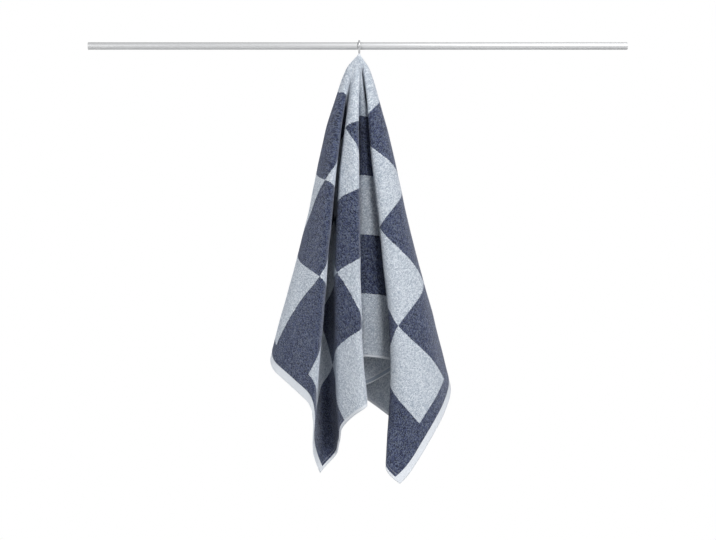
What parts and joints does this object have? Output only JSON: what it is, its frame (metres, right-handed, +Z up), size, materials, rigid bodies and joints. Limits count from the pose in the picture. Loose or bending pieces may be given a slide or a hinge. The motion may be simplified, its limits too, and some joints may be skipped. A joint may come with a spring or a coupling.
{
  "type": "hand towel with rail and hook",
  "caption": "Terry hand towel with a light and dark checkerboard weave, draped in deep uneven folds from a thin wire hook over a straight round rail.",
  "frame": {"origin": "centre of the rail's left end face", "axes": "+X along the rail to its right end, +Y away from the viewer, +Z up"},
  "size_m": [0.89, 0.2245, 0.7285],
  "materials": {
    "towel_terry": "cotton terry, pale and slate blue checks, flat-woven pale ends, reverse in the opposite colours",
    "hook_steel": "bright drawn wire",
    "rail_steel": "satin brushed along its length"
  },
  "bodies": {
    "root": {"towel": "towel_terry", "hook": "hook_steel", "rail": "rail_steel"}
  },
  "joints": []
}
